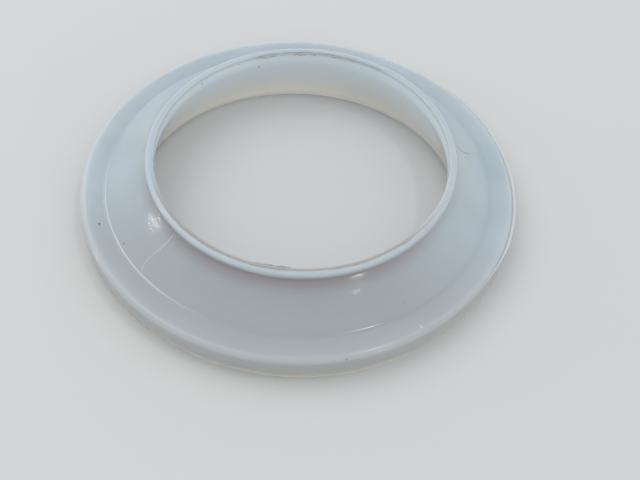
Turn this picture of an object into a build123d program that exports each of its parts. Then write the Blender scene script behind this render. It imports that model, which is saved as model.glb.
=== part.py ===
"""Cone gasket for the round flange of a storage water heater, moulded in one piece.

The ring lies flat on its underside, with its axis on +Z and the thin collar on top.
A heavy flange carries a hollow-sided cone, which thins upwards to a short upright
collar. The bore is straight inside the collar and tapers open towards the underside.
"""

import os

from build123d import *

# Sizes across the ring, in millimetres, counted outwards from the bore
bore_radius = 30.9
collar_wall = 1.7
cone_run = 8.4
lip_run = 5.0

# Sizes up the ring, in millimetres
height = 13.8
collar_height = 1.5
flange_height = 6.2
dish_depth = 0.5

# The bore, in millimetres: its straight land, and how far it opens below that
land_length = 3.0
bore_taper = 2.9

# How far the side of the cone is hollowed below a straight line
cone_hollow = 0.6

# Rounds of the moulded corners, in millimetres
rim_round = 0.6
collar_foot_round = 0.8
crease_round = 1.2
lip_round = 1.0

# Places worked out from the sizes
collar_radius = bore_radius + collar_wall
crease_radius = collar_radius + cone_run
outer_radius = crease_radius + lip_run
bore_foot_radius = bore_radius + bore_taper
collar_foot_z = height - collar_height
crease_z = flange_height - dish_depth
land_foot_z = height - land_length

# Corners of the section, each a radius and a height
bore_foot = (bore_foot_radius, 0)
base_edge = (outer_radius, 0)
lip = (outer_radius, flange_height)
crease = (crease_radius, crease_z)
collar_foot = (collar_radius, collar_foot_z)
rim_outside = (collar_radius, height)
rim_inside = (bore_radius, height)
land_foot = (bore_radius, land_foot_z)

# The rounded corners. The others are sharp, where the two halves of the mould meet.
corner_rounds = [
    (lip, lip_round),
    (crease, crease_round),
    (collar_foot, collar_foot_round),
    (rim_outside, rim_round),
]

os.makedirs("parts", exist_ok=True)

with BuildPart() as gasket:
    with BuildSketch(Plane.XZ) as section:
        with BuildLine():
            Polyline(bore_foot, base_edge, lip, crease)
            SagittaArc(crease, collar_foot, cone_hollow)
            Polyline(collar_foot, rim_outside, rim_inside, land_foot, bore_foot)
        make_face()
        for corner, radius in corner_rounds:
            fillet(section.vertices().sort_by_distance(corner)[0], radius)
    revolve(axis=Axis.Z)

gasket.part.label = "flange_gasket"
export_step(gasket.part, "parts/flange_gasket.step")

ring_size = gasket.part.bounding_box().size
print(f"outer diameter {ring_size.X:.2f} mm, height {ring_size.Z:.2f} mm")
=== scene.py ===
"""Looks of a moulded silicone cone gasket: the ring, the flash on its edges, and a plain stage."""

from math import cos, pi, radians, sin

import bpy
from bpy.props import FloatProperty, FloatVectorProperty, IntProperty, PointerProperty
from mathutils import Matrix, Vector


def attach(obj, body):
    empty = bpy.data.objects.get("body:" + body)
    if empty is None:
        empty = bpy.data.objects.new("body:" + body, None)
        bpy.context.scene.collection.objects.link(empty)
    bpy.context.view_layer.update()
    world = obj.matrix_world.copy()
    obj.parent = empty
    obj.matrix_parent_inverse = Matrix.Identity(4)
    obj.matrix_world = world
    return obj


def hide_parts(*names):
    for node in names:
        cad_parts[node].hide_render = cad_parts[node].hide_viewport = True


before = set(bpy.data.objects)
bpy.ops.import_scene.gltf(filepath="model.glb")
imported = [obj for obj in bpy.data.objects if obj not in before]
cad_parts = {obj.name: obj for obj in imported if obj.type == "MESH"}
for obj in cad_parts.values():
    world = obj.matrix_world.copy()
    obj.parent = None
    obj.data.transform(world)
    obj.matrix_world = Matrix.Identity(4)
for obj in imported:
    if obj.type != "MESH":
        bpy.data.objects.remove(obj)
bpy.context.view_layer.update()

bl_info = {
    "name": "Cone gasket",
    "version": (1, 0, 0),
    "blender": (4, 5, 0),
    "location": "3D View > Sidebar > Gasket",
    "description": "Builds a moulded silicone cone gasket with its flash, and a plain stage",
    "category": "Object",
}

MM = 0.001
NODE = "flange_gasket"
BODY = "root"
SILICONE = "milky_silicone"
# Each point keeps its place from before the ring gave, under this name
MOULDED = "moulded_place"

# Inputs of the geometry trees. Each is a property's name, with capitals and spaces.
SIZE_INPUTS = (
    "Bore Radius", "Collar Wall", "Cone Run", "Lip Run",
    "Height", "Collar Height", "Flange Height", "Dish Depth",
    "Land Length", "Bore Taper", "Cone Hollow",
    "Rim Round", "Collar Foot Round", "Crease Round", "Lip Round", "Parting Round",
    "Segments",
)
GIVE_INPUTS = (
    "Shrink", "Base Along", "Base Across", "Rim Along", "Rim Across",
    "Foot Along", "Foot Across", "Bulge", "Bulge Side", "Ripple", "Ripple Scale",
)
FLASH_INPUTS = (
    "Start", "Sweep", "Radius", "Level", "Reach", "Thickness", "Lean",
    "Fade", "Torn", "Grain", "Seed",
)
WHOLE_INPUTS = ("Segments", "Seed")

# The side of the cone is a round on a corner. A factor of eight would give the arc that meets
# both ends, and a little more makes it end just before them.
HOLLOW_ARC = 8.8
# The corner between the land and the taper of the bore has a wide round, as a share of the height
LAND_ROUND = 0.35

# The bulge spreads round its side between these cosines, and fades inwards at this rate
BULGE_SPREAD = (0.55, 1.0)
BULGE_FADE = 2.6

# Torn flash: the length of a step along it and the steps added to them, the noise between torn
# and whole, the least share of its reach, its thickness at the tip against the root, and the
# share of its reach by which its middle stands out
FLASH_STEP = 0.18 * MM
FLASH_MORE_STEPS = 8.0
FLASH_TEAR = (0.36, 0.64)
FLASH_LEAST = 0.02
FLASH_TIP = 0.35
FLASH_MIDDLE = 0.42

# The runs of flash that this ring has. A lean over a right angle points inwards.
FLASH_RUNS = {
    "lip_flash": {
        "start": radians(-34.0),
        "sweep": radians(88.0),
        "lean": radians(30.0),
        "radius": 45.70 * MM,
        "level": 5.55 * MM,
        "reach": 0.95 * MM,
        "fade": 5.0,
        "torn": 0.12,
        "grain": 200.0,
        "seed": 3,
    },
    "rim_flash_back": {
        "start": radians(62.0),
        "sweep": radians(62.0),
        "lean": radians(192.0),
        "reach": 0.55 * MM,
        "torn": 0.85,
        "seed": 5,
    },
    "rim_flash_front": {
        "start": radians(-98.0),
        "sweep": radians(14.0),
        "lean": radians(190.0),
        "reach": 0.35 * MM,
        "torn": 0.9,
        "seed": 8,
    },
    "rim_flash_left": {
        "start": radians(196.0),
        "sweep": radians(8.0),
        "lean": radians(190.0),
        "reach": 0.30 * MM,
        "torn": 0.7,
        "seed": 9,
    },
}

# Where the looks of the silicone change: the start and the end of each change, in metres
BORE_SKIN = (0.12 * MM, 0.40 * MM)  # out from the wall of the bore
FILM_SKIN = (0.02 * MM, 0.12 * MM)  # out from the edge of the flange
FRONT_HALF = (-33.0 * MM, -8.0 * MM)  # along Y
FOOT_RISE = (0.1 * MM, 0.9 * MM)  # up from the underside, as are all that follow
BORE_FOOT_RISE = (0.0, 1.8 * MM)
LOW_WALL_RISE = (1.0 * MM, 6.2 * MM)
BORE_RISE = (1.5 * MM, 12.0 * MM)
CREASE_RISE = (5.0 * MM, 5.4 * MM)
THIN_WALL_RISE = (9.6 * MM, 12.2 * MM)
THIN_WALL_END = 13.1 * MM
BORE_TOP_RISE = (12.4 * MM, 13.6 * MM)
RIM_RISE = (12.8 * MM, 13.6 * MM)
RIM_EDGE_RISE = (13.2 * MM, 13.6 * MM)

# Sides of the ring: the X and Y of the middle of each side, and the cosines to it between which
# a mark comes up
FRONT = ((0.0, -1.0), (0.30, 0.75))
LEFT = ((-0.80, -0.60), (0.78, 0.99))
BACK_LEFT = ((-0.74, 0.67), (0.80, 1.0))
BACK = ((-0.26, 0.966), (0.86, 0.92))

# Painted light and shade that run round the ring: a highlight in the crease, a shadow in the torn
# edge of the rim and shade on the rim's inner edge. How far each lies inside the edge that it
# follows, how it fades to its sides, and how far noise shifts it
CREASE_HIGHLIGHT_INSET = 0.28 * MM
CREASE_HIGHLIGHT_FADE = (0.07 * MM, 0.22 * MM)
TEAR_SHADOW_INSET = 0.75 * MM
TEAR_SHADOW_FADE = (0.05 * MM, 0.16 * MM)
TEAR_SHADOW_SHIFT = 1.6 * MM
RIM_EDGE_SHADE_FADE = (0.72 * MM, 0.95 * MM)
RIM_EDGE_SHADE_SHIFT = 0.7 * MM

# Scales of the noise in the silicone, from the widest clouds to the finest grain
CLOUDS = 55.0
SMEARS = 140.0
TEAR_SHADOW_RUNS = 260.0
RAGGED_EDGE = 300.0
RAGGED_TEAR = 420.0
SKIN_GRAIN = 900.0
GLINT_GRAIN = 1300.0
FINEST_GRAIN = 2600.0

# Specks of dust: the place and the size, in millimetres
DUST = (
    ((-36.79, -21.80, 5.81), 0.26),
    ((-36.70, -22.10, 5.80), 0.20),
    ((-30.72, -25.89, 6.04), 0.22),
    ((13.58, -42.90, 5.44), 0.18),
    ((22.98, -29.93, 6.63), 0.20),
    ((-24.98, 15.70, 12.07), 0.24),
    ((-14.16, 26.54, 10.41), 0.22),
)

# A patch of painted highlights on the cone, pale grains over dimples: the place and the size, in
# millimetres
GLINT_PATCH = ((-25.3, -23.1, 10.4), 2.6)

# A short painted highlight on the flange, in millimetres
GLINT_TICK = ((26.20, -33.70, 5.95), (26.70, -34.35, 5.97))

# A raised mould line down the cone, painted paler as a highlight, and a short hair on it, in
# millimetres
SEAM = (
    (-20.95, -26.25, 11.55),
    (-22.05, -27.15, 10.02),
    (-23.45, -28.00, 8.60),
    (-25.19, -29.30, 7.01),
    (-25.70, -30.12, 6.42),
    (-25.83, -31.40, 5.88),
)
HAIR = ((32.1, 10.3, 10.5), (33.2, 10.05, 9.35), (34.3, 10.55, 8.3), (35.3, 11.4, 7.6))

GLINT_TICK_WIDTH = 0.11 * MM
SEAM_WIDTH = 0.17 * MM
HAIR_WIDTH = 0.10 * MM
# The share of a spot's size and of a line's width that has full strength
SPOT_CORE = 0.35
STROKE_CORE = 0.4
# How much the outer surface faces up against outwards where these lines lie, how softly a line
# ends, and how far under and over the surface it reaches
STROKE_UP = 1.2
STROKE_END = 0.25 * MM
STROKE_DEPTH = (0.8 * MM, 1.1 * MM)

# Half the side of the floor, in metres
FLOOR_HALF = 1.5

# The lights: the name, the direction round the ring and the height in degrees, and the distance
# and the size in metres
LIGHTS = (
    ("window", 146.0, 57.0, 0.75, (0.60, 0.55)),
    ("lamp", -44.0, 26.0, 0.80, (0.030, 0.06)),
    ("tube", -42.0, 17.0, 0.80, (0.07, 0.010)),
    ("strip", 8.0, 71.0, 0.80, (0.13, 0.022)),
    ("glint", -176.0, 11.0, 0.80, (0.10, 0.06)),
)

# The ring's place from the camera along the camera's right, down and forward axes, the camera's
# tilt down and its roll, its sensor's width in millimetres, and its near limit in metres
CAMERA_OFFSET = Vector((-4.246, -10.934, 153.463)) * MM
CAMERA_TILT = radians(51.55)
CAMERA_ROLL = radians(8.729)
SENSOR_WIDTH = 36.0
NEAR_CLIP = 0.01


def length(name, millimetres, description):
    """A length in the sidebar, kept in metres."""
    return FloatProperty(
        name=name,
        description=description,
        default=millimetres * MM,
        min=0.0,
        unit="LENGTH",
        precision=5,
    )


def angle(name, degrees, description):
    """An angle in the sidebar, kept in radians."""
    return FloatProperty(
        name=name, description=description, default=radians(degrees), subtype="ANGLE"
    )


def share(name, value, description):
    """A plain share, such as a strength or an ovality."""
    return FloatProperty(name=name, description=description, default=value, precision=4)


def colour(name, value, description):
    """A linear colour."""
    return FloatVectorProperty(
        name=name,
        description=description,
        default=value,
        subtype="COLOR",
        size=3,
        min=0.0,
        max=1.0,
    )


class GasketSizes(bpy.types.PropertyGroup):
    """Section of the ring, counted outwards from the bore and up from the underside."""

    bore_radius: length("Bore radius", 30.9, "Inside of the collar")
    collar_wall: length("Collar wall", 1.7, "Wall of the collar")
    cone_run: length("Cone run", 8.4, "From the collar out to the crease")
    lip_run: length("Lip run", 5.0, "From the crease out to the edge")
    height: length("Height", 13.8, "Underside to rim")
    collar_height: length("Collar height", 1.5, "Upright part under the rim")
    flange_height: length("Flange height", 6.2, "Underside to the lip")
    dish_depth: length("Dish depth", 0.5, "How far the crease lies under the lip")
    land_length: length("Land length", 3.0, "Straight part of the bore")
    bore_taper: length("Bore taper", 2.9, "How far the bore opens below its land")
    cone_hollow: length("Cone hollow", 0.6, "How far the cone's side is hollowed")
    rim_round: length("Rim round", 0.6, "Outer round of the rim")
    collar_foot_round: length("Collar foot round", 0.8, "Round where the collar meets the cone")
    crease_round: length("Crease round", 1.6, "Round of the crease")
    lip_round: length("Lip round", 1.0, "Round of the outer top edge")
    parting_round: length("Parting round", 0.15, "Softness of the edges where the mould parts")
    segments: IntProperty(
        name="Segments", description="Steps round the ring", default=384, min=48, max=720
    )


class GasketGive(bpy.types.PropertyGroup):
    """How far the soft ring has given out of its round shape."""

    shrink: share("Shrinkage", 0.985, "Size of the ring after its moulding has shrunk")
    base_along: share("Base, along X", -0.0025, "Stretch of the flange along X, taken from Y")
    base_across: share("Base, diagonal", 0.0137, "Stretch of the flange on its diagonal")
    rim_along: share("Rim, along X", -0.0186, "Stretch of the rim along X, taken from Y")
    rim_across: share("Rim, diagonal", 0.0274, "Stretch of the rim on its diagonal")
    foot_along: share("Bore foot, along X", 0.041, "More stretch of the bore's foot along X")
    foot_across: share("Bore foot, diagonal", 0.023, "More stretch of the bore's foot, diagonal")
    bulge: length("Bulge", 0.60, "How far the flange stands out on one side")
    bulge_side: angle("Bulge side", 14.0, "The side on which the flange stands out")
    ripple: length("Ripple", 0.10, "Unevenness of the top surfaces")
    ripple_scale: share("Ripple scale", 26.0, "How close the unevenness lies, per metre")


class FlashRun(bpy.types.PropertyGroup):
    """One run of thin flash along an edge where the mould parts."""

    start: angle("Start", 0.0, "Where the run starts")
    sweep: angle("Sweep", 0.0, "How far the run goes")
    radius: length("Radius", 30.9, "Radius of the edge that carries the run")
    level: length("Level", 13.7, "Height of the edge that carries the run")
    reach: length("Reach", 0.4, "How far the film stands out")
    thickness: length("Thickness", 0.12, "Thickness of the film at its root")
    lean: angle("Lean", 0.0, "Slope of the film, up from flat and outwards")
    fade: share("Fade", 14.0, "How fast the film rises from its ends")
    torn: share("Torn", 0.5, "Share of the film that is torn away")
    grain: share("Grain", 600.0, "How close the tears lie, per metre")
    seed: IntProperty(name="Seed", description="Pattern of the tears", default=1)


class SiliconeLook(bpy.types.PropertyGroup):
    """Colours and finish of the silicone, in linear values."""

    milk: colour("Milk", (0.420, 0.478, 0.515), "Main colour, in cool light")
    haze: colour("Haze", (0.465, 0.518, 0.550), "Paler clouds in the silicone")
    # Painted shade: the front half of the outside is painted darker and duller
    shade: colour("Shade", (0.405, 0.417, 0.424), "Duller silicone on the front")
    # Painted shade: a darker, pinkish band under the rim, strongest on the front
    thin: colour("Thin wall", (0.335, 0.312, 0.323), "Thin wall under the rim, lit through")
    # Painted light: a warm bounce from the floor, low on the walls
    painted_bounce: colour("Painted bounce", (0.475, 0.462, 0.418), "Warmer tint low on the walls")
    # Painted light: the bore's wall is painted paler for the light that comes through it
    bore: colour("Bore", (0.600, 0.680, 0.725), "Thin wall of the bore, lit through")
    # Painted light: the lower part of the bore is painted paler and warmer
    painted_bore_foot_glow: colour("Bore foot", (0.800, 0.775, 0.720), "Lower part of the bore")
    rim: colour("Rim", (0.392, 0.450, 0.482), "Top of the rim, seen through")
    # Painted shade: darkens the inner edge of the rim on the front, and the foot
    painted_edge_shade: colour("Edge shade", (0.290, 0.270, 0.255), "Dull inner edge of the rim, and the foot")
    # Painted shadow: the dark line in the torn edge of the rim at the back
    tear_shadow_tint: colour("Tear shadow", (0.230, 0.165, 0.120), "Dirt in the torn edge of the rim")
    # Painted light: the flash is painted paler for the light that its thin edge catches
    film: colour("Film", (0.520, 0.515, 0.510), "Thin flash at the edges")
    # Also the colour of the painted highlight in the crease; the raised mould line is painted
    # paler with it, as a highlight
    seam: colour("Seam", (0.700, 0.780, 0.830), "Fine raised lines left by the mould")
    # Painted highlights: pale grains in a patch on the cone and a short tick on the flange
    painted_glint_colour: colour("Painted glint", (0.900, 0.930, 0.960), "Pale grains in the skin")
    speck: colour("Speck", (0.020, 0.017, 0.015), "Dust in the surface")
    depth: length("Depth", 5.0, "How far light travels inside")
    gloss: share("Roughness", 0.11, "Roughness of the moulded skin")


class StageLook(bpy.types.PropertyGroup):
    """Floor, light and camera."""

    floor: colour("Floor", (0.62, 0.61, 0.59), "Colour of the floor")
    sky: colour("Surroundings", (0.90, 0.95, 1.00), "Colour of the light from all round")
    sky_strength: share("Surroundings strength", 0.90, "Level of the light from all round")
    window_power: share("Window power", 1.3, "Watts of the large soft light")
    lamp_power: share("Lamp power", 0.045, "Watts of the small light in front")
    tube_power: share("Tube power", 0.24, "Watts of the narrow light in front")
    tube_tint: colour("Tube tint", (1.00, 0.93, 0.76), "Colour of the narrow light in front")
    strip_power: share("Strip power", 0.35, "Watts of the narrow light overhead")
    glint_power: share("Glint power", 0.35, "Watts of the low light on the left")
    lens: FloatProperty(
        name="Lens", description="Focal length, in millimetres", default=39.375, min=1.0
    )


class GasketSettings(bpy.types.PropertyGroup):
    """Everything that the sidebar shows."""

    sizes: PointerProperty(type=GasketSizes)
    give: PointerProperty(type=GasketGive)
    look: PointerProperty(type=SiliconeLook)
    stage: PointerProperty(type=StageLook)
    lip_flash: PointerProperty(type=FlashRun)
    rim_flash_back: PointerProperty(type=FlashRun)
    rim_flash_front: PointerProperty(type=FlashRun)
    rim_flash_left: PointerProperty(type=FlashRun)


class Wire:
    """A node's output. Arithmetic on it adds Math nodes to its tree."""

    def __init__(self, socket):
        self.socket = socket
        self.tree = socket.id_data

    @staticmethod
    def node(tree, kind, settings=None, values=None, output=0):
        """Adds a node, sets it up, then gives its sockets their values or links.

        Returns a Wire for one of its outputs, or the node itself where the output is None.
        """
        made = tree.nodes.new(kind)
        for name, setting in (settings or {}).items():
            if name == "items":
                while len(made.index_switch_items) < setting:
                    made.index_switch_items.new()
            else:
                setattr(made, name, setting)
        for key, value in (values or {}).items():
            if isinstance(value, Wire):
                tree.links.new(value.socket, made.inputs[key])
            else:
                made.inputs[key].default_value = value
        if output is None:
            return made
        return Wire(made.outputs[output])

    def math(self, operation, *values, clamp=False):
        """Adds a Math node on the given values."""
        settings = {"operation": operation, "use_clamp": clamp}
        return Wire.node(self.tree, "ShaderNodeMath", settings, dict(enumerate(values)))

    def __add__(self, other):
        return self.math("ADD", self, other)

    def __radd__(self, other):
        return self.math("ADD", other, self)

    def __sub__(self, other):
        return self.math("SUBTRACT", self, other)

    def __rsub__(self, other):
        return self.math("SUBTRACT", other, self)

    def __mul__(self, other):
        return self.math("MULTIPLY", self, other)

    def __rmul__(self, other):
        return self.math("MULTIPLY", other, self)

    def __truediv__(self, other):
        return self.math("DIVIDE", self, other)

    def __rtruediv__(self, other):
        return self.math("DIVIDE", other, self)

    def __neg__(self):
        return self.math("MULTIPLY", self, -1.0)

    def root(self):
        """The square root."""
        return self.math("POWER", self, 0.5)

    def unsigned(self):
        """The value without its sign."""
        return self.math("ABSOLUTE", self)

    def held(self):
        """The value, held between 0 and 1."""
        return self.math("ADD", self, 0.0, clamp=True)

    def rise(self, low, high):
        """A smooth step from 0 at low to 1 at high."""
        settings = {"interpolation_type": "SMOOTHSTEP"}
        values = {"Value": self, "From Min": low, "From Max": high}
        return Wire.node(self.tree, "ShaderNodeMapRange", settings, values)


def split(vector):
    """The three parts of a vector."""
    values = {"Vector": vector}
    node = Wire.node(vector.tree, "ShaderNodeSeparateXYZ", values=values, output=None)
    return [Wire(node.outputs[axis]) for axis in "XYZ"]


def join(tree, **parts):
    """A vector from its parts. Those that aren't named are zero."""
    return Wire.node(tree, "ShaderNodeCombineXYZ", values=parts)


def shown(group):
    """The names of a property group's own properties."""
    return [name for name in group.bl_rna.properties.keys() if name not in ("rna_type", "name")]


def input_values(group, labels):
    """The values of a property group under the labels of the tree's inputs."""
    return {label: getattr(group, label.lower().replace(" ", "_")) for label in labels}


def new_tree(name, labels):
    """A geometry tree with its named inputs. Returns the tree and a Wire for each input."""
    kinds = {label: "NodeSocketFloat" for label in labels}
    kinds.update({label: "NodeSocketInt" for label in labels if label in WHOLE_INPUTS})
    kinds["Material"] = "NodeSocketMaterial"
    tree = bpy.data.node_groups.new(name, "GeometryNodeTree")
    for label, kind in kinds.items():
        tree.interface.new_socket(label, in_out="INPUT", socket_type=kind)
    tree.interface.new_socket("Geometry", in_out="OUTPUT", socket_type="NodeSocketGeometry")
    entry = tree.nodes.new("NodeGroupInput")
    return tree, {label: Wire(entry.outputs[label]) for label in kinds}


def end_tree(tree, mesh, material):
    """Ends a tree in Realize Instances and Set Material."""
    solid = Wire.node(tree, "GeometryNodeRealizeInstances", values={"Geometry": mesh})
    values = {"Geometry": solid, "Material": material}
    dressed = Wire.node(tree, "GeometryNodeSetMaterial", values=values)
    leave = tree.nodes.new("NodeGroupOutput")
    tree.links.new(dressed.socket, leave.inputs["Geometry"])


def add_object(name, data):
    """Makes an object at the origin and puts it into the scene."""
    item = bpy.data.objects.new(name, data)
    bpy.context.scene.collection.objects.link(item)
    return item


def make_piece(name, tree, values):
    """Runs a geometry tree with the given inputs and keeps its result as a plain mesh."""
    seed_mesh = bpy.data.meshes.new(name + "_seed")
    maker = add_object(name + "_maker", seed_mesh)
    modifier = maker.modifiers.new("Build", "NODES")
    modifier.node_group = tree
    for item in tree.interface.items_tree:
        if item.in_out == "INPUT":
            modifier[item.identifier] = values[item.name]
    bpy.context.view_layer.update()
    seen = maker.evaluated_get(bpy.context.evaluated_depsgraph_get())
    mesh = bpy.data.meshes.new_from_object(seen)
    mesh.name = name
    maker.modifiers.remove(modifier)
    bpy.data.objects.remove(maker)
    bpy.data.meshes.remove(seed_mesh)
    if not mesh.polygons or not mesh.materials:
        raise RuntimeError(f"{name} came out empty or without its material")
    return add_object(name, mesh)


def between(a, b, part):
    """The point that lies a share of the way from a to b."""
    return tuple(p + (q - p) * part for p, q in zip(a, b))


def section_corners(size):
    """The section's corners as (radius, level), each with its round and its number of steps."""
    collar = size["Bore Radius"] + size["Collar Wall"]
    crease_r = collar + size["Cone Run"]
    outer = crease_r + size["Lip Run"]
    foot_r = size["Bore Radius"] + size["Bore Taper"]
    crease_z = size["Flange Height"] - size["Dish Depth"]
    collar_z = size["Height"] - size["Collar Height"]
    land_z = size["Height"] - size["Land Length"]
    ground = size["Height"] * 0.0

    foot = (foot_r, ground)
    base = (outer, ground)
    lip = (outer, size["Flange Height"])
    crease = (crease_r, crease_z)
    collar_foot = (collar, collar_z)
    rim_outside = (collar, size["Height"])
    rim_inside = (size["Bore Radius"], size["Height"])
    land_foot = (size["Bore Radius"], land_z)

    # The hollow side is a wide round on a corner twice as deep as the hollow
    run, climb = size["Cone Run"], collar_z - crease_z
    side = (run * run + climb * climb).root()
    middle = between(crease, collar_foot, 0.5)
    sink = size["Cone Hollow"] * 2.0
    hollow = (middle[0] - sink * climb / side, middle[1] - sink * run / side)
    hollow_round = side * side / (size["Cone Hollow"] * HOLLOW_ARC)

    # The points without a round lie on the straight sides and split them. The rim's inner edge
    # is a little softer than the other edges where the mould parts.
    edge = size["Parting Round"]
    none = edge * 0.0
    return [
        (foot, edge, 4),
        (between(foot, base, 0.12), none, 1),
        (between(foot, base, 0.88), none, 1),
        (base, edge, 4),
        (between(base, lip, 0.15), none, 1),
        (between(base, lip, 0.68), none, 1),
        (lip, size["Lip Round"], 14),
        (between(lip, crease, 0.38), none, 1),
        (between(lip, crease, 0.88), none, 1),
        (crease, size["Crease Round"], 8),
        (hollow, hollow_round, 24),
        (collar_foot, size["Collar Foot Round"], 8),
        (rim_outside, size["Rim Round"], 12),
        (rim_inside, edge * 1.4, 5),
        (between(rim_inside, land_foot, 0.20), none, 1),
        (land_foot, size["Height"] * LAND_ROUND, 8),
        (between(land_foot, foot, 0.9), none, 1),
    ]


def given(tree, geometry, size):
    """Moves a shape's points as the soft ring has given.

    The ring is a little oval and a little uneven on top, and its flange bulges on one side. The
    shape keeps each point's moulded place as an attribute.
    """
    place = Wire.node(tree, "GeometryNodeInputPosition")
    x, y, z = split(place)
    radius = (x * x + y * y).root()
    outer = size["Bore Radius"] + size["Collar Wall"] + size["Cone Run"] + size["Lip Run"]
    up = (z / size["Height"]).held()
    inward = ((outer - radius) / (outer - size["Bore Radius"])).held()
    land_foot = size["Height"] - size["Land Length"]
    foot = (1.0 - z / land_foot).held() * inward
    along, across = (
        (1.0 - up) * size["Base " + way] + up * size["Rim " + way] + foot * size["Foot " + way]
        for way in ("Along", "Across")
    )
    waves = {"Vector": place, "Scale": size["Ripple Scale"], "Detail": 2.0, "Roughness": 0.5}
    drop = Wire.node(tree, "ShaderNodeTexNoise", values=waves) * size["Ripple"] * up

    bulge_x = size["Bulge Side"].math("COSINE", size["Bulge Side"])
    bulge_y = size["Bulge Side"].math("SINE", size["Bulge Side"])
    facing = ((x * bulge_x + y * bulge_y) / radius).rise(*BULGE_SPREAD)
    stand = size["Bulge"] * facing * (1.0 - inward * BULGE_FADE).held()
    moved = join(
        tree,
        X=(x * (1.0 + along + stand / radius) + y * across) * size["Shrink"],
        Y=(y * (1.0 - along + stand / radius) + x * across) * size["Shrink"],
        Z=(z - drop) * size["Shrink"],
    )
    kept = Wire.node(
        tree,
        "GeometryNodeStoreNamedAttribute",
        {"data_type": "FLOAT_VECTOR", "domain": "POINT"},
        {"Geometry": geometry, "Name": MOULDED, "Value": place},
    )
    return Wire.node(
        tree, "GeometryNodeSetPosition", values={"Geometry": kept, "Position": moved}
    )


def ring_tree():
    """The whole ring: its section drawn from the sizes, rounded, and swept round the axis."""
    tree, size = new_tree("Moulded ring", SIZE_INPUTS + GIVE_INPUTS)
    corners = section_corners(size)

    # The swept section has its own X outwards and its own Y downwards
    places, rounds, steps = {}, {}, {}
    for number, ((radius, level), bend, parts) in enumerate(corners, start=1):
        places[number] = join(tree, X=radius - size["Bore Radius"], Y=-level)
        rounds[number] = bend
        steps[number] = parts
    index = Wire.node(tree, "GeometryNodeInputIndex")
    picks = []
    for kind, table in (("VECTOR", places), ("FLOAT", rounds), ("INT", steps)):
        settings = {"data_type": kind, "items": len(corners)}
        picks.append(Wire.node(tree, "GeometryNodeIndexSwitch", settings, {0: index, **table}))
    corner, bend, parts = picks

    line = Wire.node(tree, "GeometryNodeMeshLine", values={"Count": len(corners)})
    curve = Wire.node(tree, "GeometryNodeMeshToCurve", values={"Mesh": line})
    closed = Wire.node(
        tree, "GeometryNodeSetSplineCyclic", values={"Geometry": curve, "Cyclic": True}
    )
    drawn = Wire.node(
        tree, "GeometryNodeSetPosition", values={"Geometry": closed, "Position": corner}
    )
    section = Wire.node(
        tree,
        "GeometryNodeFilletCurve",
        {"mode": "POLY"},
        {"Curve": drawn, "Count": parts, "Radius": bend, "Limit Radius": True},
    )
    circle = Wire.node(
        tree,
        "GeometryNodeCurvePrimitiveCircle",
        {"mode": "RADIUS"},
        {"Resolution": size["Segments"], "Radius": size["Bore Radius"]},
    )
    swept = Wire.node(
        tree,
        "GeometryNodeCurveToMesh",
        values={"Curve": circle, "Profile Curve": section, "Fill Caps": False},
    )
    outward = Wire.node(tree, "GeometryNodeFlipFaces", values={"Mesh": swept})
    end_tree(tree, given(tree, outward, size), size["Material"])
    return tree


def flash_tree():
    """One thin torn film along an edge: a wedge swept along an arc, its reach broken by noise."""
    tree, size = new_tree("Torn flash", SIZE_INPUTS + GIVE_INPUTS + FLASH_INPUTS)
    arc = Wire.node(
        tree,
        "GeometryNodeCurveArc",
        {"mode": "RADIUS"},
        {
            "Resolution": size["Sweep"] * size["Radius"] * (1.0 / FLASH_STEP) + FLASH_MORE_STEPS,
            "Radius": size["Radius"],
            "Start Angle": size["Start"],
            "Sweep Angle": size["Sweep"],
        },
    )
    factor = Wire.node(tree, "GeometryNodeSplineParameter")
    place = Wire.node(tree, "GeometryNodeInputPosition")
    tears = Wire.node(
        tree,
        "ShaderNodeTexNoise",
        {"noise_dimensions": "4D"},
        {"Vector": place, "W": size["Seed"], "Scale": size["Grain"], "Detail": 3.0},
    )
    whole = tears.rise(*FLASH_TEAR)
    fade = size["Fade"]
    ends = (factor * fade).held() * ((1.0 - factor) * fade).held()
    stand = (1.0 - size["Torn"] * (1.0 - whole)) * ends
    torn = Wire.node(
        tree, "GeometryNodeSetCurveRadius", values={"Curve": arc, "Radius": stand + FLASH_LEAST}
    )
    wedge = Wire.node(
        tree,
        "GeometryNodeCurvePrimitiveQuadrilateral",
        {"mode": "TRAPEZOID"},
        {
            "Height": size["Reach"],
            "Bottom Width": size["Thickness"],
            "Top Width": size["Thickness"] * FLASH_TIP,
            "Offset": 0.0,
        },
    )
    shift = join(tree, Y=size["Reach"] * FLASH_MIDDLE)
    rooted = Wire.node(
        tree, "GeometryNodeTransform", values={"Geometry": wedge, "Translation": shift}
    )
    turn = join(tree, Z=-size["Lean"] - 0.5 * pi)
    leaning = Wire.node(
        tree, "GeometryNodeTransform", values={"Geometry": rooted, "Rotation": turn}
    )
    swept = Wire.node(
        tree,
        "GeometryNodeCurveToMesh",
        values={
            "Curve": torn,
            "Profile Curve": leaning,
            "Fill Caps": True,
            "Scale": Wire.node(tree, "GeometryNodeInputRadius"),
        },
    )
    lift = join(tree, Z=size["Level"])
    raised = Wire.node(
        tree, "GeometryNodeTransform", values={"Geometry": swept, "Translation": lift}
    )
    end_tree(tree, given(tree, raised, size), size["Material"])
    return tree


def noise(place, scale, detail=3.0):
    """Cloudy noise, from about 0.3 to 0.7."""
    values = {"Vector": place, "Scale": scale, "Detail": detail, "Roughness": 0.55}
    return Wire.node(place.tree, "ShaderNodeTexNoise", values=values)


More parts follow.
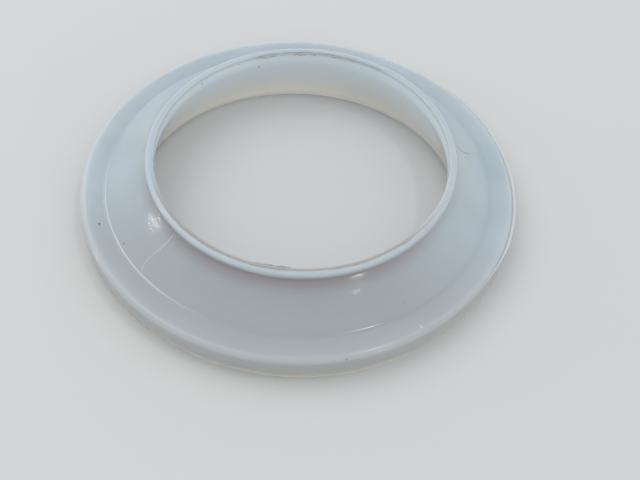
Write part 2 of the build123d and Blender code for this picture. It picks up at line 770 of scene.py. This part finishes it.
def blend(factor, first, second):
    """A colour that goes from the first to the second."""
    settings = {"data_type": "RGBA", "blend_type": "MIX"}
    pair = {}
    for socket, tint in ((6, first), (7, second)):
        pair[socket] = tint if isinstance(tint, Wire) else (*tint, 1.0)
    return Wire.node(factor.tree, "ShaderNodeMix", settings, {0: factor, **pair}, output=2)


def vector_maths(operation, first, second, output=0):
    """A Vector Math node. Its second output is a plain number."""
    settings = {"operation": operation}
    return Wire.node(
        first.tree, "ShaderNodeVectorMath", settings, {0: first, 1: second}, output
    )


def spot(place, centre, size):
    """A soft round spot, 1 at its centre. The centre and the size are in millimetres."""
    away = vector_maths("DISTANCE", place, Vector(centre) * MM, output=1)
    return 1.0 - away.rise(size * MM * SPOT_CORE, size * MM)


def stroke(place, start, end, width):
    """A thin line on the outer surface. Its start and its end are in millimetres."""
    start, end = Vector(start) * MM, Vector(end) * MM
    way = (end - start).normalized()
    outward = Vector((start.x, start.y, 0.0)).normalized() + Vector((0.0, 0.0, STROKE_UP))
    sideways = way.cross(outward).normalized()
    from_start = vector_maths("SUBTRACT", place, start)
    along, aside, depth = (
        vector_maths("DOT_PRODUCT", from_start, axis, output=1)
        for axis in (way, sideways, way.cross(sideways))
    )
    reach = (end - start).length
    line = 1.0 - aside.unsigned().rise(width * STROKE_CORE, width)
    past_end = along.rise(reach - STROKE_END, reach + STROKE_END)
    ends = along.rise(-STROKE_END, STROKE_END) * (1.0 - past_end)
    return line * ends * (1.0 - depth.unsigned().rise(*STROKE_DEPTH))


def strokes(place, points, width):
    """A thin line through the points, on the outer surface."""
    return sum(stroke(place, *pair, width) for pair in zip(points, points[1:])).held()


def new_material(name):
    """A material, with its tree and its Principled shader."""
    material = bpy.data.materials.new(name)
    material.use_nodes = True
    return material, material.node_tree, material.node_tree.nodes["Principled BSDF"]


def set_sockets(node, values):
    """Sets constants on a node's sockets."""
    for name, value in values.items():
        node.inputs[name].default_value = value


class Skin:
    """Where a point of the silicone lies, in the scene and on the ring as it was moulded."""

    def __init__(self, tree, sizes):
        self.sizes = sizes
        self.place = Wire(Wire.node(tree, "ShaderNodeTexCoord", output=None).outputs["Object"])
        self.kept = Wire.node(tree, "ShaderNodeAttribute", {"attribute_name": MOULDED}, output=1)
        self.along, self.across, self.level = split(self.kept)
        self.radius = (self.along * self.along + self.across * self.across).root()
        land_foot = sizes.height - sizes.land_length
        opening = (1.0 - self.level / land_foot).held() * sizes.bore_taper
        self.bore = 1.0 - (self.radius - (sizes.bore_radius + opening)).rise(*BORE_SKIN)
        self.outside = 1.0 - self.bore
        self.crease = sizes.bore_radius + sizes.collar_wall + sizes.cone_run

    def on(self, side):
        """1 on the given side of the ring, and 0 away from it."""
        (x, y), spread = side
        return ((self.along * x + self.across * y) / self.radius).rise(*spread)


def skin_tint(skin, look):
    """The colour of the silicone, from the bore over the rim to the edge of the flange, with its
    painted light and shade.
    """
    place, level, outside = skin.place, skin.level, skin.outside
    # Painted shade: the front half of the ring is painted darker
    front = 1.0 - split(place)[1].rise(*FRONT_HALF)
    collar_foot = skin.sizes.height - skin.sizes.collar_height
    under_rim = 1.0 - level.rise(collar_foot + 0.1 * MM, THIN_WALL_END)
    # Painted shade under the rim, strongest on the front
    painted_under_rim_shade = level.rise(*THIN_WALL_RISE) * under_rim
    # Painted light: the bore is paler, and paler and warmer towards its foot
    painted_bore_glow_mask = skin.bore * (1.0 - level.rise(*BORE_TOP_RISE))
    painted_bore_glow = blend(level.rise(*BORE_RISE), look.painted_bore_foot_glow, look.bore)
    # Painted bounce light, low on the walls
    low = 1.0 - level.rise(*LOW_WALL_RISE)
    # Painted shade at the foot
    foot = 1.0 - level.rise(*FOOT_RISE)

    # Painted shade: the inner edge of the rim is darkened in a ragged band towards the front
    ragged = noise(skin.kept, RAGGED_EDGE) - 0.5
    from_bore = skin.radius - skin.sizes.bore_radius + ragged * RIM_EDGE_SHADE_SHIFT
    painted_rim_edge_shade = (1.0 - from_bore.rise(*RIM_EDGE_SHADE_FADE)) * level.rise(*RIM_EDGE_RISE) * skin.on(FRONT)

    # Beyond the flange's own edge there is only flash, painted paler for the light that it catches
    edge = skin.crease + skin.sizes.lip_run
    film = (skin.radius - edge).rise(*FILM_SKIN)

    tint = blend(noise(place, CLOUDS).rise(0.35, 0.70), look.milk, look.haze)
    for factor, other in (
        (front * outside * 0.9, look.shade),
        (painted_under_rim_shade * (front * 0.85 + 0.15) * outside, look.thin),
        (low * 0.6 * outside, look.painted_bounce),
        (painted_bore_glow_mask * (0.45 + 0.45 * level.rise(*BORE_FOOT_RISE)), painted_bore_glow),
        (level.rise(*RIM_RISE), look.rim),
        (foot * 0.5, look.painted_edge_shade),
        (painted_rim_edge_shade * 0.85, look.painted_edge_shade),
        (film * 0.85, look.film),
    ):
        tint = blend(factor, tint, other)
    return tint


def crease_highlight(skin):
    """A painted highlight: a fine pale line just inside the crease, on the left and in a stretch
    at the back left.
    """
    off_line = skin.radius - (skin.crease - CREASE_HIGHLIGHT_INSET)
    line = 1.0 - off_line.unsigned().rise(*CREASE_HIGHLIGHT_FADE)
    sides = skin.on(LEFT) + 0.8 * skin.on(BACK_LEFT)
    return line * skin.level.rise(*CREASE_RISE) * sides.held() * skin.outside


def painted_tear_shadow(skin):
    """Painted shadow in the torn inner edge of the rim at the back, in short ragged runs."""
    ragged = noise(skin.kept, RAGGED_TEAR, 2.0) - 0.5
    off_tear = skin.level - (skin.sizes.height - TEAR_SHADOW_INSET) + ragged * TEAR_SHADOW_SHIFT
    tear = 1.0 - off_tear.unsigned().rise(*TEAR_SHADOW_FADE)
    runs = noise(skin.kept, TEAR_SHADOW_RUNS, 2.0).rise(0.44, 0.54)
    return tear * runs * skin.on(BACK) * skin.bore


def silicone_material(look, sizes):
    """Milky translucent silicone: cloudy, with painted light and shade: paler in the bore, darker
    and warmer where the wall is thin, darker on the front, and with painted highlights.
    """
    material, tree, shader = new_material(SILICONE)
    skin = Skin(tree, sizes)
    place, outside = skin.place, skin.outside

    # The marks on it: a mould line painted paler as a highlight, a hair and specks of dust, and
    # painted highlights: pale grains in a patch, a short tick and a line in the crease
    # Painted highlight: a pale line in the crease
    line = crease_highlight(skin)
    seam = strokes(place, SEAM, SEAM_WIDTH) * outside
    dust = strokes(place, HAIR, HAIR_WIDTH) * outside
    for centre, size in DUST:
        dust = dust + spot(place, centre, size)
    painted_glint_mask = spot(place, *GLINT_PATCH) * noise(place, GLINT_GRAIN, 2.0).rise(0.55, 0.68)
    painted_glint_mask = (painted_glint_mask + stroke(place, *GLINT_TICK, GLINT_TICK_WIDTH) * 0.8).held()

    tint = skin_tint(skin, look)
    for factor, mark in (
        (painted_tear_shadow(skin) * 0.75, look.tear_shadow_tint),
        (seam * 0.32, look.seam),
        (line * 0.52, look.seam),
        (painted_glint_mask * 0.65, look.painted_glint_colour),
        (dust.held() * 0.85, look.speck),
    ):
        tint = blend(factor, tint, mark)
    tree.links.new(tint.socket, shader.inputs["Base Color"])

    rough = noise(place, SMEARS, 4.0).rise(0.45, 0.75) * 0.09 + look.gloss
    tree.links.new(rough.socket, shader.inputs["Roughness"])

    grain = noise(place, SKIN_GRAIN, 2.0) * 0.6 + noise(place, FINEST_GRAIN, 1.0) * 0.4
    values = {"Strength": 0.08, "Distance": 0.2 * MM, "Height": grain}
    fine = Wire.node(tree, "ShaderNodeBump", values=values)
    raised = seam + painted_glint_mask * 0.7 + line * 0.6
    values = {"Strength": 0.5, "Distance": 0.1 * MM, "Height": raised, "Normal": fine}
    bump = Wire.node(tree, "ShaderNodeBump", values=values)
    tree.links.new(bump.socket, shader.inputs["Normal"])

    shader.subsurface_method = "RANDOM_WALK"
    values = {
        "Subsurface Weight": 0.9,
        "Subsurface Radius": (1.0, 0.86, 0.74),
        "Subsurface Scale": look.depth,
        "IOR": 1.43,
    }
    set_sockets(shader, values)
    return material


def floor_material(look):
    """Plain pale floor, nearly without gloss."""
    material, _, shader = new_material("pale_floor")
    values = {"Base Color": (*look.floor, 1.0), "Roughness": 0.95, "Specular IOR Level": 0.15}
    set_sockets(shader, values)
    return material


def make_silicone(name, tree, settings, more=None):
    """Makes a piece of silicone and puts it on the body. The material is made once for all."""
    material = bpy.data.materials.get(SILICONE)
    values = {
        **input_values(settings.sizes, SIZE_INPUTS),
        **input_values(settings.give, GIVE_INPUTS),
        **(more or {}),
        "Material": material or silicone_material(settings.look, settings.sizes),
    }
    piece = make_piece(name, tree, values)
    faces = piece.data.polygons
    faces.foreach_set("use_smooth", [True] * len(faces))
    piece.data.update()
    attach(piece, BODY)
    return piece


class GASKET_OT_ring(bpy.types.Operator):
    """Build the moulded ring in place of its plain solid"""

    bl_idname = "gasket.ring"
    bl_label = "Ring"

    def execute(self, context):
        ring = make_silicone("silicone_ring", ring_tree(), context.scene.gasket)
        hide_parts(NODE)
        return {"FINISHED"}


class GASKET_OT_flash(bpy.types.Operator):
    """Add the thin torn films along the edges where the mould parts"""

    bl_idname = "gasket.flash"
    bl_label = "Flash"

    def execute(self, context):
        settings = context.scene.gasket
        tree = flash_tree()
        for name in FLASH_RUNS:
            values = input_values(getattr(settings, name), FLASH_INPUTS)
            make_silicone(name, tree, settings, values)
        return {"FINISHED"}


class GASKET_OT_stage(bpy.types.Operator):
    """Lay the pale floor and place the soft lights and the camera"""

    bl_idname = "gasket.stage"
    bl_label = "Stage"

    def execute(self, context):
        look = context.scene.gasket.stage
        self.lay_floor(look)
        self.place_lights(context.scene, look)
        self.place_camera(context.scene, look)
        context.scene.view_settings.view_transform = "Standard"
        return {"FINISHED"}

    def lay_floor(self, look):
        """A square floor at the level of the ring's underside."""
        signs = ((-1, -1), (1, -1), (1, 1), (-1, 1))
        mesh = bpy.data.meshes.new("floor")
        corners = [(x * FLOOR_HALF, y * FLOOR_HALF, 0) for x, y in signs]
        mesh.from_pydata(corners, [], [(0, 1, 2, 3)])
        mesh.materials.append(floor_material(look))
        floor = add_object("floor", mesh)

    def place_lights(self, scene, look):
        """Light from all round, and rectangular lights that face the ring."""
        scene.world = bpy.data.worlds.new("surroundings")
        scene.world.use_nodes = True
        values = {"Color": (*look.sky, 1.0), "Strength": look.sky_strength}
        set_sockets(scene.world.node_tree.nodes["Background"], values)
        for name, azimuth, elevation, distance, size in LIGHTS:
            light = bpy.data.lights.new(name, "AREA")
            light.shape = "RECTANGLE"
            light.size, light.size_y = size
            light.energy = getattr(look, name + "_power")
            turn, rise = radians(azimuth), radians(elevation)
            way = Vector((cos(rise) * cos(turn), cos(rise) * sin(turn), sin(rise)))
            lamp = add_object(name, light)
            lamp.location = way * distance
            lamp.rotation_euler = way.to_track_quat("Z", "Y").to_euler()
            if name == "tube":
                light.color = look.tube_tint

    def place_camera(self, scene, look):
        """The camera, with its axes right, down and forward as rows of one matrix."""
        unrolled = Matrix(
            (
                (1, 0, 0),
                (0, -sin(CAMERA_TILT), -cos(CAMERA_TILT)),
                (0, cos(CAMERA_TILT), -sin(CAMERA_TILT)),
            )
        )
        axes = Matrix.Rotation(CAMERA_ROLL, 3, "Z") @ unrolled
        right, down, forward = axes
        lens = bpy.data.cameras.new("camera")
        lens.lens = look.lens
        lens.sensor_width = SENSOR_WIDTH
        lens.clip_start = NEAR_CLIP
        turn = Matrix((right, -down, -forward)).transposed().to_4x4()
        camera = add_object("camera", lens)
        camera.matrix_world = Matrix.Translation(-(axes.transposed() @ CAMERA_OFFSET)) @ turn
        scene.camera = camera


class GASKET_PT_sidebar(bpy.types.Panel):
    """The gasket's pieces and settings in the sidebar"""

    bl_idname = "GASKET_PT_sidebar"
    bl_label = "Gasket"
    bl_space_type = "VIEW_3D"
    bl_region_type = "UI"
    bl_category = "Gasket"

    def draw(self, context):
        for operator in OPERATORS:
            self.layout.operator(operator.bl_idname)
        settings = context.scene.gasket
        for title in shown(settings):
            box = self.layout.box()
            box.label(text=title.replace("_", " ").capitalize())
            group = getattr(settings, title)
            for name in shown(group):
                box.prop(group, name)


OPERATORS = (GASKET_OT_stage, GASKET_OT_ring, GASKET_OT_flash)
CLASSES = (
    GasketSizes,
    GasketGive,
    FlashRun,
    SiliconeLook,
    StageLook,
    GasketSettings,
    *OPERATORS,
    GASKET_PT_sidebar,
)


def register():
    for item in CLASSES:
        bpy.utils.register_class(item)
    bpy.types.Scene.gasket = PointerProperty(type=GasketSettings)


def unregister():
    del bpy.types.Scene.gasket
    for item in reversed(CLASSES):
        bpy.utils.unregister_class(item)


def set_flash(settings):
    """Gives each run of flash its own values."""
    for name, values in FLASH_RUNS.items():
        run = getattr(settings, name)
        for key, value in values.items():
            setattr(run, key, value)


def main():
    register()
    set_flash(bpy.context.scene.gasket)
    bpy.ops.gasket.stage()
    bpy.ops.gasket.ring()
    bpy.ops.gasket.flash()


if __name__ == "__main__":
    main()
